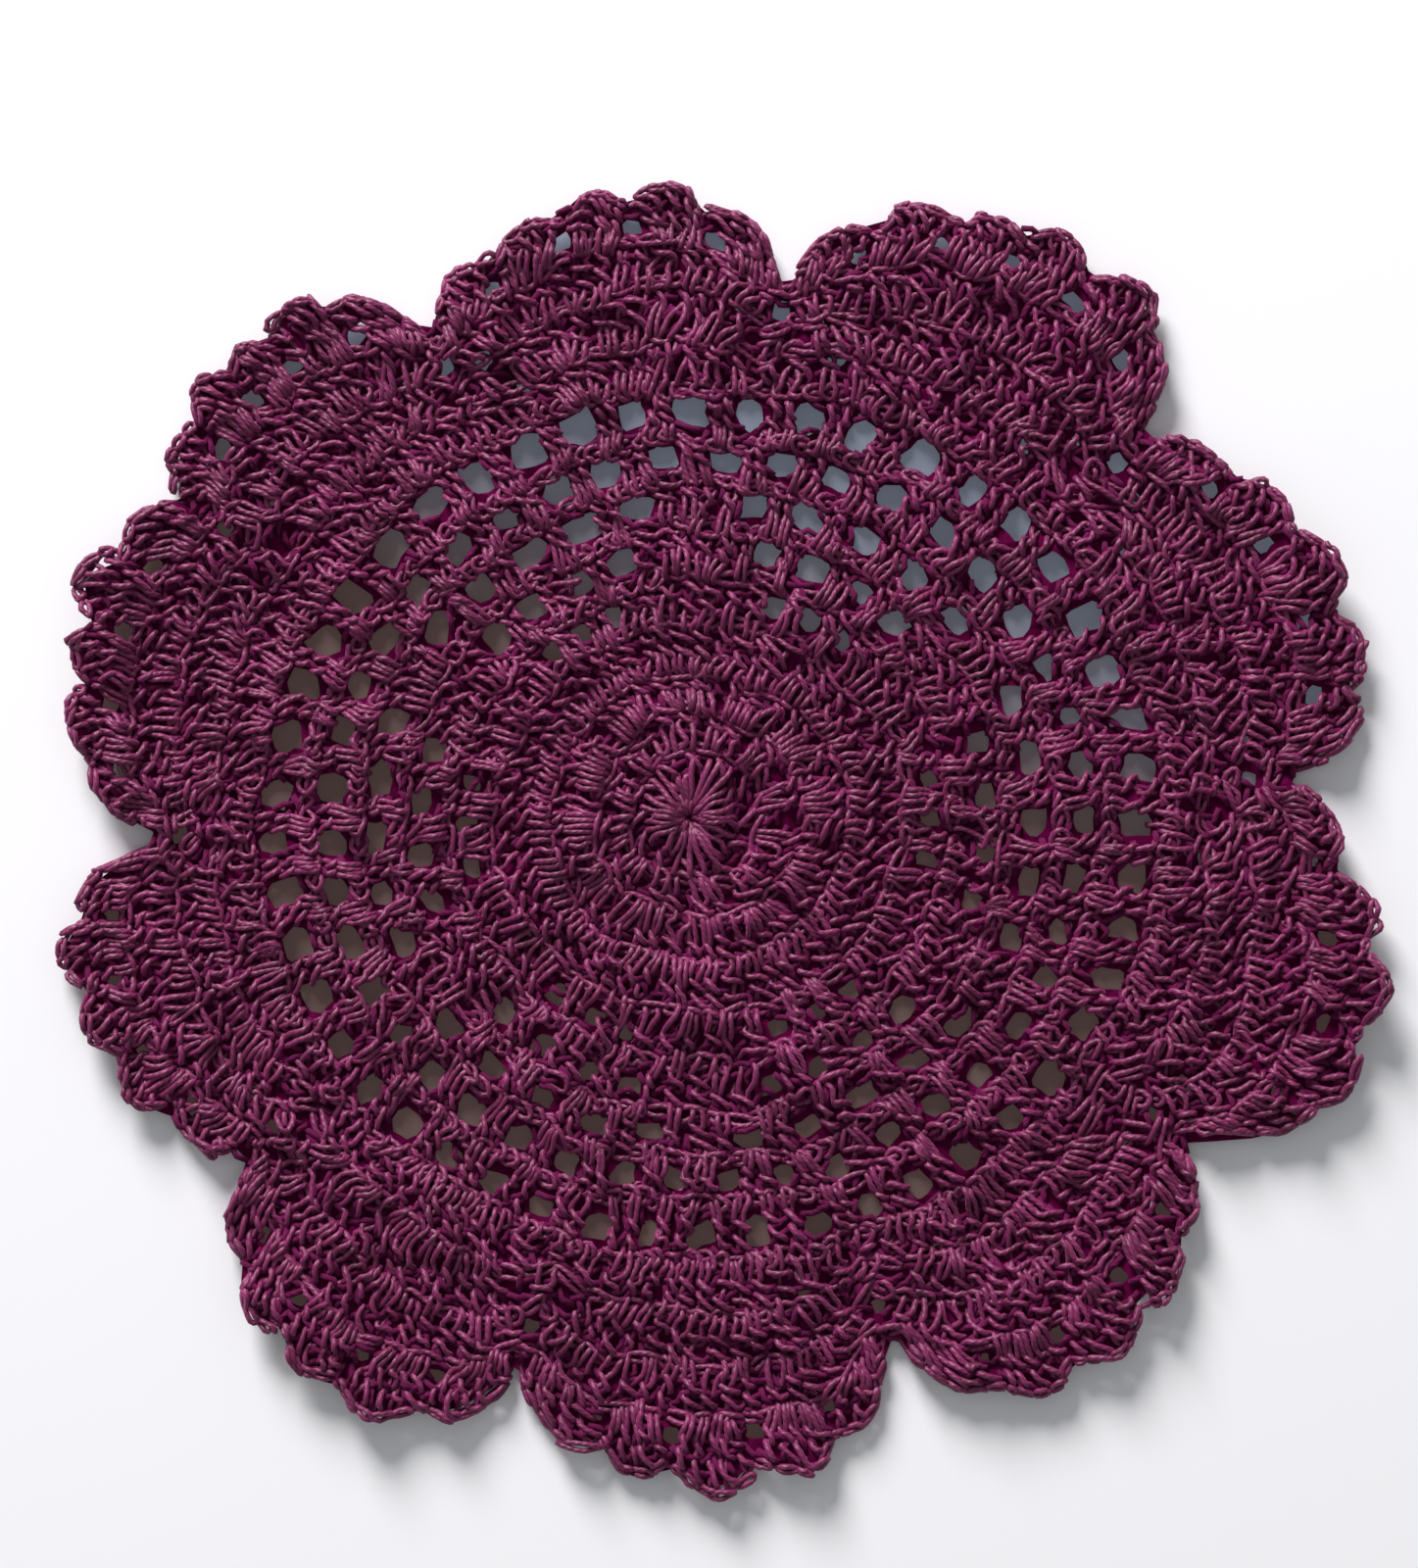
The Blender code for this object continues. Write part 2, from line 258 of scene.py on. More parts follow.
def uneven(plan):
    """Plan points shifted by the waves, and how far each is lifted."""
    shift = np.zeros_like(plan)
    lift = np.zeros(len(plan))
    for wave in WAVES:
        place = plan[:, 0] * math.cos(wave.way) + plan[:, 1] * math.sin(wave.way)
        swing = np.sin(place / wave.length * math.tau + wave.phase)
        shift += swing[:, None] * wave.along
        lift += np.cos(place / wave.length * math.tau + 2.0 * wave.phase) * wave.up
    return plan + shift, np.clip(lift, -LEAST_LIFT, MOST_LIFT)


def swayed(radius, angle):
    """An angle in the mesh, drawn round a little as the rows are, and most at the outermost."""
    angle = np.asarray(angle, float)
    weight = (radius - SWAY_START) / (SWAY_FULL - SWAY_START)
    turn = sum(s.turn * np.cos(np.radians(s.order * angle - s.direction)) for s in SWAYS)
    return angle + weight * turn


def mesh_row_angles(row):
    """Angles of all the openings in a mesh row, worked out from the star's points."""
    angles = []
    for index, start in enumerate(STAR_POINTS):
        sector = (STAR_POINTS[(index + 1) % len(STAR_POINTS)] - start) % FULL_TURN
        pitch = row.pitch or sector / row.openings
        first = start + sector / 2.0 - pitch * ((row.openings - 1) / 2.0 + row.shift)
        angles += [first + pitch * number for number in range(row.openings)]
    return np.sort(swayed(row.middle, angles) % FULL_TURN)


class Thread:
    """The points that the thread passes through in one round, gathered stitch by stitch."""

    def __init__(self):
        self.runs = []

    def tall_stitch(self, foot, head, foot_pitch, head_step, snug=1.0):
        """A tall stitch from foot to head, both plan points.

        foot_pitch is its width at its foot, head_step the way from the last head to its own, and snug
        how far apart the strands of its top lie, as a share of the usual.
        """
        height = np.hypot(*(head - foot))
        rise = (head - foot) / height
        side = np.array((-rise[1], rise[0]))
        shape = TALL_STITCH if height > WRAPPED_TWICE_FROM else SHORT_STITCH
        shape = shape + DICE.normal(size=shape.shape) * STITCH_WOBBLE
        along, up, out = shape.T
        along = along * (1.0 + DICE.normal() * STITCH_SPREAD) + (up - 0.5) * DICE.normal() * STITCH_LEAN
        at_head = np.clip(up, 0.0, 1.0)[:, None]
        across = side * foot_pitch * (1.0 - at_head) + head_step * at_head
        low = FOOT_TO * USUAL_HEIGHT
        high = height - (1.0 - TOP_FROM) * USUAL_HEIGHT * snug
        levels = (low - USUAL_HEIGHT, low, high, high + USUAL_HEIGHT * snug)
        up = np.interp(up, (FOOT_TO - 1.0, FOOT_TO, TOP_FROM, TOP_FROM + 1.0), levels)
        plan = foot + up[:, None] * rise + along[:, None] * across
        self.runs.append(np.column_stack((plan, out * LIFT)))

    def chain(self, start, end):
        """A chain from one plan point to another, in links of about the usual length."""
        reach = end - start
        length = np.hypot(*reach)
        links = max(1, round(length / LINK_LENGTH))
        ahead = reach / length
        aside = np.array((-ahead[1], ahead[0]))
        for link in range(links):
            shape = CHAIN_LINK + DICE.normal(size=CHAIN_LINK.shape) * LINK_WOBBLE
            along, across, out = shape.T
            plan = start + ((along + link) * length / links)[:, None] * ahead
            plan = plan + across[:, None] * aside
            self.runs.append(np.column_stack((plan, out * LIFT)))

    def points(self):
        """All the points in order, with their height over the surface."""
        points = np.concatenate(self.runs)
        rise = MIDDLE_HEIGHT + curl(points[:, 0], points[:, 1])
        plan, lift = uneven(points[:, :2])
        return np.column_stack((plan, points[:, 2] + rise + lift))


def smooth_curve(points):
    """A centripetal Catmull-Rom curve through the points, as a fine polyline."""
    ends = (2.0 * points[:1] - points[1:2], points, 2.0 * points[-1:] - points[-2:-1])
    p = np.concatenate(ends)
    gap = np.maximum(np.sqrt(np.linalg.norm(np.diff(p, axis=0), axis=1)), 1e-3)
    p0, p1, p2, p3 = p[:-3], p[1:-2], p[2:-1], p[3:]
    g0, g1, g2 = (g[:, None] for g in (gap[:-2], gap[1:-1], gap[2:]))
    leave = ((p1 - p0) / g0 - (p2 - p0) / (g0 + g1) + (p2 - p1) / g1) * g1
    arrive = ((p2 - p1) / g1 - (p3 - p1) / (g1 + g2) + (p3 - p2) / g2) * g1
    steps = []
    for step in range(CURVE_STEPS):
        t = step / CURVE_STEPS
        steps.append(
            (2 * t**3 - 3 * t**2 + 1) * p1
            + (t**3 - 2 * t**2 + t) * leave
            + (-2 * t**3 + 3 * t**2) * p2
            + (t**3 - t**2) * arrive
        )
    return np.concatenate((np.stack(steps, axis=1).reshape(-1, 3), points[-1:]))


def spaced_rings(curve):
    """Points along the curve: few on its straight stretches and more round its bends."""
    step = np.diff(curve, axis=0)
    length = np.linalg.norm(step, axis=1)
    ahead = step / np.maximum(length, 1e-6)[:, None]
    bend = np.arccos(np.clip((ahead[1:] * ahead[:-1]).sum(axis=1), -1.0, 1.0))
    bend = np.concatenate((bend[:1], bend)) + np.concatenate((bend, bend[-1:]))
    cost = length / STRAIGHT_STEP + bend / 2.0 * RINGS_A_TURN / math.tau
    total = np.concatenate(([0.0], np.cumsum(cost)))
    wanted = np.linspace(0.0, total[-1], int(total[-1]) + 2)
    return np.stack([np.interp(wanted, total, curve[:, axis]) for axis in range(3)], axis=1)


def carried_sides(rings):
    """For each ring, two directions across the thread that turn with it and never spin."""
    ahead = np.gradient(rings, axis=0)
    ahead /= np.linalg.norm(ahead, axis=1)[:, None]
    first = np.cross(ahead[0], (0.0, 0.0, 1.0))
    side = first / np.linalg.norm(first)
    sides = np.empty_like(rings)
    sides[0] = side
    for number in range(1, len(rings)):
        side = side - ahead[number] * side.dot(ahead[number])
        side = side / math.sqrt(side.dot(side))
        sides[number] = side
    return sides, np.cross(ahead, sides)


def tube_uv(along):
    """UV coordinates of a closed tube's corners: its length in millimetres, its girth from 0 to 1."""
    u = np.stack((along[:-1], along[:-1], along[1:], along[1:]), -1)[:, None].repeat(TUBE_SIDES, 1)
    start = np.arange(TUBE_SIDES) / TUBE_SIDES
    end = start + 1.0 / TUBE_SIDES
    v = np.stack((start, end, end, start), -1)[None].repeat(len(along) - 1, 0)
    return np.concatenate((np.stack((u, v), -1).reshape(-1, 2), np.zeros((2 * TUBE_SIDES, 2))))


def thread_mesh(name, points):
    """A closed tube along the thread, in metres, with its length and girth as a UV map."""
    rings = spaced_rings(smooth_curve(points))
    rings[:, 2] = np.maximum(rings[:, 2], THREAD_RADIUS * (1.0 + THREAD_SWELL))
    side, lift = carried_sides(rings)
    count = len(rings)
    turns = np.arange(TUBE_SIDES) / TUBE_SIDES * math.tau
    around = np.cos(turns)[None, :, None] * side[:, None] + np.sin(turns)[None, :, None] * lift[:, None]
    swell = 1.0 + THREAD_SWELL * np.sin(np.cumsum(DICE.uniform(0.0, SWELL_STEP, count)))
    verts = (rings[:, None] + around * THREAD_RADIUS * swell[:, None, None]).reshape(-1, 3) * MM
    ring = np.arange(count - 1)[:, None] * TUBE_SIDES
    corner = np.arange(TUBE_SIDES)[None]
    after = (corner + 1) % TUBE_SIDES
    quads = np.stack((ring + corner, ring + after, ring + TUBE_SIDES + after, ring + TUBE_SIDES + corner), -1)
    quads = quads.reshape(-1, 4)
    caps = np.concatenate((np.arange(TUBE_SIDES)[::-1], (count - 1) * TUBE_SIDES + np.arange(TUBE_SIDES)))
    mesh = bpy.data.meshes.new(name)
    mesh.vertices.add(len(verts))
    mesh.vertices.foreach_set("co", verts.ravel())
    mesh.loops.add(quads.size + caps.size)
    mesh.loops.foreach_set("vertex_index", np.concatenate((quads.ravel(), caps)))
    mesh.polygons.add(len(quads) + 2)
    starts = np.append(np.arange(len(quads)) * 4, (quads.size, quads.size + TUBE_SIDES))
    mesh.polygons.foreach_set("loop_start", starts)
    along = np.concatenate(([0.0], np.cumsum(np.linalg.norm(np.diff(rings, axis=0), axis=1))))
    mesh.update(calc_edges=True)
    mesh.uv_layers.new(name="thread").data.foreach_set("uv", tube_uv(along).ravel())
    mesh.validate()
    mesh.shade_smooth()
    return mesh


# How the stitches of a round are set
HEAD_WOBBLE = 0.45
LEAST_FOOT = 0.9
MOST_FOOT = 1.2 * STITCH_PITCH
CHAIN_FROM = 5.6  # heads further apart than this have a chain between them


def work_round(thread, feet, heads, snug=1.0, pitch=STITCH_PITCH):
    """Works a closed round: a stitch from each foot to each head, and chains where heads lie apart.

    feet and heads are plan points in order. Where a chain leads up to a head, the stitch there has the
    given pitch.
    """
    before = np.roll(heads, 1, axis=0)
    foot_steps = np.linalg.norm(feet - np.roll(feet, 1, axis=0), axis=1)
    for foot, head, last, foot_pitch in zip(feet, heads, before, foot_steps):
        step = head - last
        length = np.hypot(*step)
        if length > CHAIN_FROM:
            step = step / length * pitch
            thread.chain(last, head - step)
            foot_pitch = pitch
        foot_pitch = min(max(foot_pitch, LEAST_FOOT), MOST_FOOT)
        thread.tall_stitch(foot, head, foot_pitch, step, snug)


def shaken(points, wobble=HEAD_WOBBLE):
    return points + DICE.normal(size=points.shape) * wobble


def close_round(inner, outer, groups, each, foot_squeeze, head_squeeze, turn):
    """A round of groups of stitches, drawn together at their feet and heads by the squeezes."""
    middle = (np.arange(groups) + turn) * FULL_TURN / groups
    place = (np.arange(each) - (each - 1) / 2.0) * FULL_TURN / groups / each
    foot_angle = (middle[:, None] + place * foot_squeeze).ravel()
    head_angle = (middle[:, None] + place * head_squeeze).ravel()
    thread = Thread()
    feet = spot(pulled(inner, foot_angle), foot_angle)
    heads = shaken(spot(pulled(outer, head_angle), head_angle))
    work_round(thread, feet, heads)
    return thread


# The start of the work, at the middle of the plan: strands that spread from a dimple, out and back
CENTRE_LOOPS = 14
CENTRE_REACH = 7.6
CENTRE_UNEVEN = 1.3
CENTRE_RUN = ((0.9, -0.6), (1.9, 1.6), (3.6, 2.5), (5.6, 2.4))  # radius and lift, up to the loop's end
CENTRE_END = ((-0.3, 1.8), (0.2, 0.3))  # the same, with the radius counted from the reach
CENTRE_STRAY = 0.12  # of the turn from one loop to the next
CENTRE_WAVER = 14.0  # degrees, at a radius of a millimetre


def centre_strands(thread):
    """The strands of the start, added to the thread of the first round."""
    turn = FULL_TURN / CENTRE_LOOPS
    for loop in range(CENTRE_LOOPS):
        out = turn * loop + DICE.normal() * turn * CENTRE_STRAY
        reach = CENTRE_REACH + DICE.normal() * CENTRE_UNEVEN
        run = [*CENTRE_RUN, *((reach + more, lift) for more, lift in CENTRE_END)]
        radius, lift = np.array([*run, *run[::-1]]).T
        angle = np.where(np.arange(len(radius)) < len(run), out, out + turn / 2.0)
        angle = angle + DICE.normal(size=len(radius)) * CENTRE_WAVER / radius
        thread.runs.append(np.column_stack((spot(radius, angle), lift * LIFT)))


# The mesh rows: their tops, their posts' pitch, and how far the openings are open, most on one side
MESH_SNUG = 1.35
MESH_POST = 1.9
LEAST_POSTS = 2
OPEN_SHARE = 0.91
OPEN_SWING = 0.10
OPEN_MOST = 110.0


def open_share(angle):
    """How far the openings at an angle are open, as a share of their size on the plan."""
    return OPEN_SHARE + OPEN_SWING * np.cos(np.radians(angle - OPEN_MOST))


def mesh_round(row, inner):
    """A mesh row: posts between the openings, plain stitches over the star, chains over the gaps."""
    openings = np.array(mesh_row_angles(row))
    half = np.degrees(row.width / 2.0 / pulled(row.middle, openings)) * open_share(openings)
    angles = []
    for index, angle in enumerate(openings):
        after = (index + 1) % len(openings)
        start = angle + half[index]
        room = (openings[after] - half[after] - start) % FULL_TURN
        wide = math.radians(room) * row.middle
        count = max(LEAST_POSTS, round(wide / STITCH_PITCH))
        angles += [start + room * (number + 0.5) / count for number in range(count)]
    angles = np.sort(np.array(angles) % FULL_TURN)
    thread = Thread()
    feet = shaken(spot(pulled(inner, angles), angles))
    heads = shaken(spot(pulled(row.outer, angles), angles))
    work_round(thread, feet, heads, MESH_SNUG, MESH_POST)
    return thread


# Fan rounds, inside out: stitches in a fan, and how far its feet and heads reach from its middle, in
# shares of half the fan. Then the same for the stitches at each notch
FanRound = namedtuple("FanRound", "stitches foot_reach head_reach notch_stitches notch_foot notch_head")
FAN_STITCHES = (
    FanRound(9, 0.40, 0.52, 5, 0.42, 0.36),
    FanRound(12, 0.56, 0.71, 3, 0.34, 0.17),
    FanRound(17, 0.84, 0.94, 0, 0.0, 0.0),
)


def fan_round(level):
    """One round of the ten fans, with the few stitches that fill the notches between them."""
    plan = FAN_STITCHES[level]
    inner = FAN_ROUNDS[level - 1] if level else 0.0
    feet, heads = [], []
    for fan, width in zip(FANS, FAN_WIDTHS):
        half = width / 2.0
        if plan.notch_stitches:
            place = np.linspace(-1.0, 1.0, plan.notch_stitches)
            feet.append(fan.notch + place * plan.notch_foot * half)
            heads.append(fan.notch + place * plan.notch_head * half)
        place = np.linspace(-1.0, 1.0, plan.stitches)
        feet.append(fan.notch + half + place * plan.foot_reach * half)
        heads.append(fan.notch + half + place * plan.head_reach * half)
    foot_angle, head_angle = np.concatenate(feet), np.concatenate(heads)
    thread = Thread()
    foot_points = shaken(spot(edge_radius(inner, foot_angle), foot_angle))
    head_points = shaken(spot(edge_radius(FAN_ROUNDS[level], head_angle), head_angle))
    work_round(thread, foot_points, head_points)
    return thread


# The shells of the trim. Foot and head are shares of a shell's width, and inset is from the outline
SHELL_STITCHES = 5
SHELL_FOOT = 0.50
SHELL_HEAD = 0.80
SHELL_INSET = 1.2
SHELL_START = 0.5  # the first top of a shell, as a share of the next
SHELL_FOOT_PITCH = 1.9
SHELL_SNUG = 0.7
SHELL_UNEVEN = 0.45
SHELL_SKEW = 0.55
SHELL_WOBBLE = 0.25
NOTCH_DEPTH = 3.0  # how far inside a notch the thread passes it
DIP_DEEPENED = 1.7  # times the outline's own dip between shells


def inside_edge(angle, inset):
    """Points inside the curve over the shells, square to it by the inset, and further in at a dip."""
    crown = crown_radius(angle)
    edge = spot(crown, angle)
    ahead = spot(crown_radius(angle + SMALL_TURN), angle + SMALL_TURN) - edge
    ahead /= np.linalg.norm(ahead, axis=-1)[..., None]
    inward = np.stack((-ahead[..., 1], ahead[..., 0]), axis=-1)
    return edge + inward * (inset + DIP_DEEPENED * (crown - outline_radius(angle)))[..., None]


def shell_round(fans):
    """The trim of some of the fans: shells of stitches that spread from one place to the outline."""
    thread = Thread()
    for index in fans:
        fan, width = FANS[index], FAN_WIDTHS[index]
        inside = spot(fan.notch_radius - NOTCH_DEPTH, fan.notch)
        thread.runs.append(np.array(((*inside, -LIFT),)))
        turn = width / fan.shells
        for shell in range(fan.shells):
            middle = fan.notch + turn * (shell + 0.5)
            place = np.linspace(-0.5, 0.5, SHELL_STITCHES) * turn
            foot_angle = middle + place * SHELL_FOOT
            head_angle = middle + place * SHELL_HEAD
            feet = shaken(spot(edge_radius(FAN_ROUNDS[-1], foot_angle), foot_angle))
            skew = DICE.normal() * SHELL_UNEVEN + place / turn * 2.0 * DICE.normal() * SHELL_SKEW
            heads = shaken(inside_edge(head_angle, SHELL_INSET + skew), SHELL_WOBBLE)
            steps = np.diff(heads, axis=0)
            steps = np.concatenate((steps[:1] * SHELL_START, steps))
            for foot, head, step in zip(feet, heads, steps):
                thread.tall_stitch(foot, head, SHELL_FOOT_PITCH, step, SHELL_SNUG)
    return thread


# The web inside the stitches: a thin sheet coloured dark, as painted shade between the strands
WEB_BOTTOM = 1.0
WEB_TOP = 1.3
WEB_INSET = 1.2
WEB_CLEARANCE = 0.15
WEB_CORNERS = 12
WEB_SQUARENESS = 0.6
WEB_TURN_SPREAD = 7.0
WEB_SIZES = (0.85, 1.1)
WEB_RAGGED = (0.80, 1.15)
WEB_STEP = 1.5
WEB_SPACING = 2.6
NOTCH_REACH = MESH_OUTER + 20.0  # about the notches' radius
CUT_TURNS = 9
GRID_REACH = 110.0
GRID_STRAY = 0.3


def cut_back(inset, step):
    """A loop of plan points inside the outline, cut back from it by the inset, at the notches too."""
    angles = np.arange(0.0, FULL_TURN, step)
    turns = np.linspace(-inset, inset, CUT_TURNS) / np.radians(NOTCH_REACH)
    return spot(np.min([outline_radius(angles + turn) for turn in turns], axis=0) - inset, angles)


def web_loops():
    """The web's outline and its openings, each a little uneven."""
    loops = [cut_back(WEB_INSET, WEB_STEP)]

    def add(radius, angle, height, width):
        turns = np.arange(WEB_CORNERS) / WEB_CORNERS * math.tau
        out = spot(1.0, angle + DICE.normal() * WEB_TURN_SPREAD)
        along = np.array((-out[1], out[0]))
        share = open_share(angle)
        half_height = (height / 2.0 + WEB_CLEARANCE) * share * DICE.uniform(*WEB_SIZES)
        half_width = (width / 2.0 + WEB_CLEARANCE) * share * DICE.uniform(*WEB_SIZES)
        rise = np.sign(np.cos(turns)) * np.abs(np.cos(turns)) ** WEB_SQUARENESS
        reach = np.sign(np.sin(turns)) * np.abs(np.sin(turns)) ** WEB_SQUARENESS
        ragged = DICE.uniform(*WEB_RAGGED, WEB_CORNERS)
        loop = spot(radius, angle) + np.outer(rise * ragged * half_height, out)
        loops.append(loop + np.outer(reach * ragged * half_width, along))

    for row in MESH_ROWS:
        for angle in mesh_row_angles(row):
            add(pulled(row.middle, angle), angle, row.height, row.width)
    for fan, width in zip(FANS, FAN_WIDTHS):
        for gap in range(1, fan.shells):
            angle = fan.notch + width * gap / fan.shells
            add(edge_radius(SHELL_GAP, angle), angle, *SHELL_GAP_SIZE)
        for gap in NOTCH_GAPS:
            angle = fan.notch + gap.offset
            add(edge_radius(gap.share, angle), angle, gap.height, gap.width)
    return loops


def grid(spacing):
    """Plan points all over the doily's square, each moved a little at random."""
    lines = np.arange(-GRID_REACH, GRID_REACH, spacing)
    points = np.array([(x, y) for x in lines for y in lines])
    return points + DICE.uniform(-GRID_STRAY, GRID_STRAY, points.shape) * spacing


def is_inside(points, loop):
    """Whether each plan point lies inside a loop of plan points."""
    after = np.roll(loop, -1, axis=0)
    x, y = points[:, 0, None], points[:, 1, None]
    crosses = (loop[:, 1] > y) != (after[:, 1] > y)
    slope = (after[:, 0] - loop[:, 0]) / np.where(after[:, 1] == loop[:, 1], 1.0, after[:, 1] - loop[:, 1])
    return (crosses & (x < loop[:, 0] + slope * (y - loop[:, 1]))).sum(axis=1) % 2 == 1


def web_mesh(loops):
    """The closed thin web between the stitches' two faces, in metres, and its area."""
    places, edges, owner = [], [], []
    for number, loop in enumerate(loops):
        first = len(places)
        places += [tuple(point) for point in loop]
        owner += [number] * len(loop)
        edges += [(first + k, first + (k + 1) % len(loop)) for k in range(len(loop))]
    inner = grid(WEB_SPACING)
    inner = inner[is_inside(inner, loops[0])]
    for loop in loops[1:]:
        inner = inner[~is_inside(inner, loop)]
    places += [tuple(point) for point in inner]
    owner += [0] * len(inner)
    found, _, faces, sources, _, _ = delaunay_2d_cdt(places, edges, [], 1, 1e-5)
    holes = [{owner[s] for s in source} for source in sources]
    kept = []
    for face in faces:
        shared = holes[face[0]] & holes[face[1]] & holes[face[2]]
        if not shared or 0 in shared:
            kept.append(tuple(face))
    xy = np.array([(point[0], point[1]) for point in found])
    rise = curl(xy[:, 0], xy[:, 1])
    xy, lift = uneven(xy)
    rise += lift
    lower = np.column_stack((xy, rise + WEB_BOTTOM))
    upper = np.column_stack((xy, rise + WEB_TOP))
    count = len(xy)
    sides = {}
    for face in kept:
        for k in range(3):
            a, b = face[k], face[(k + 1) % 3]
            if (b, a) in sides:
                del sides[(b, a)]
            else:
                sides[(a, b)] = True
    faces = [tuple(reversed(face)) for face in kept]
    faces += [tuple(corner + count for corner in face) for face in kept]
    faces += [(a, b, b + count, a + count) for a, b in sides]
    mesh = bpy.data.meshes.new("web")
    mesh.from_pydata(np.concatenate((lower, upper)) * MM, [], faces)
    mesh.update()
    a, b, c = (xy[[face[k] for face in kept]] for k in range(3))
    area = 0.5 * np.abs(np.cross(b - a, c - a)).sum() * MM * MM
    return mesh, float(area)


# Short lengths of thread deep inside the stitches, over the web, spread either way from along the rounds
DEEP_SPACING = 2.2
DEEP_LENGTH = 3.0
DEEP_RADIUS = 0.50
DEEP_BEND = 0.45
DEEP_ARCH = 0.45
DEEP_HEIGHT = 1.65
DEEP_RINGS = 3
DEEP_TURN_SPREAD = 55.0


def deep_mesh(loops):
    """The deep strands as one mesh of short closed tubes, each clear of every opening."""
    middle = grid(DEEP_SPACING)
    turn = np.arctan2(middle[:, 1], middle[:, 0]) + math.pi / 2.0
    turn = turn + np.radians(DICE.normal(size=len(turn)) * DEEP_TURN_SPREAD)
    ahead = np.column_stack((np.cos(turn), np.sin(turn)))
    aside = np.column_stack((-ahead[:, 1], ahead[:, 0]))
    place = np.linspace(-1.0, 1.0, DEEP_RINGS)
    bend = DICE.normal(size=len(middle)) * DEEP_BEND
    plan = middle[:, None] + ahead[:, None] * place[:, None] * DEEP_LENGTH / 2.0
    plan = plan + aside[:, None] * (bend[:, None] * (1.0 - place**2))[..., None]
    ends = np.concatenate((plan[:, 0], plan[:, -1]))
    kept = is_inside(ends, loops[0])
    for loop in loops[1:]:
        kept &= ~is_inside(ends, loop)
    kept = kept[:len(middle)] & kept[len(middle):]
    plan = plan[kept]
    count = len(plan)
    flat = plan.reshape(-1, 2)
    height = DEEP_HEIGHT + curl(flat[:, 0], flat[:, 1]) + np.tile(DEEP_ARCH * (1.0 - place**2), count)
    flat, lift = uneven(flat)
    rings = np.column_stack((flat, height + lift)).reshape(count, DEEP_RINGS, 3)
    along = np.gradient(rings, axis=1)
    along /= np.linalg.norm(along, axis=-1, keepdims=True)
    side = np.cross(along, (0.0, 0.0, 1.0))
    side /= np.linalg.norm(side, axis=-1, keepdims=True)
    lift = np.cross(side, along)
    girth = np.arange(TUBE_SIDES) / TUBE_SIDES * math.tau
    around = np.cos(girth)[:, None] * side[:, :, None] + np.sin(girth)[:, None] * lift[:, :, None]
    verts = (rings[:, :, None] + around * DEEP_RADIUS).reshape(-1, 3) * MM
    corner = np.arange(TUBE_SIDES)
    after = (corner + 1) % TUBE_SIDES
    ring = np.arange(DEEP_RINGS - 1)[:, None] * TUBE_SIDES
    quads = np.stack((ring + corner, ring + after, ring + TUBE_SIDES + after, ring + TUBE_SIDES + corner), -1)
    last = (DEEP_RINGS - 1) * TUBE_SIDES
    faces = [tuple(quad) for quad in quads.reshape(-1, 4)]
    faces += [tuple(corner[::-1]), tuple(corner + last)]
    size = DEEP_RINGS * TUBE_SIDES
    mesh = bpy.data.meshes.new("deep_strands")
    every = [tuple(c + first for c in face) for first in range(0, count * size, size) for face in faces]
    mesh.from_pydata(verts, [], every)
    mesh.update()
    uv = np.tile(tube_uv(np.linspace(0.0, DEEP_LENGTH, DEEP_RINGS)), (count, 1))
    mesh.uv_layers.new(name="thread").data.foreach_set("uv", uv.ravel())
    mesh.shade_smooth()
    return mesh


# Materials. The plies' pitch is in millimetres along the thread
Cotton = namedtuple("Cotton", "name dark light roughness specular sheen")
FACE_COTTON = Cotton("cotton", (0.105, 0.0030, 0.041), (0.165, 0.009, 0.072), 0.54, 0.52, 0.25)
# A darker, less glossy copy of the thread's cotton for the deep strands: painted shade deep in the work
SHADED_DEEP_COTTON = Cotton("shaded_deep_cotton", (0.064, 0.0024, 0.029), (0.100, 0.0045, 0.047), 0.8, 0.1, 0.1)
SHEEN_ROUGHNESS = 0.5
SHEEN_TINT = (0.95, 0.22, 0.60, 1.0)
PATCH_SCALE = 160.0
PATCH_RANGE = (0.35, 0.65)
PLY_PITCH = 1.1
PLIES = 3.0
PLY_HEIGHT = 0.0001
PLY_STRENGTH = 0.3
WEB_FIBRE_SCALE = 900.0
# The web's two tones are painted shade: darker than the thread, for the shade between the strands
WEB_SHADE_DARKER = (0.055, 0.0009, 0.021, 1.0)
WEB_SHADE_LIGHTER = (0.095, 0.0030, 0.040, 1.0)


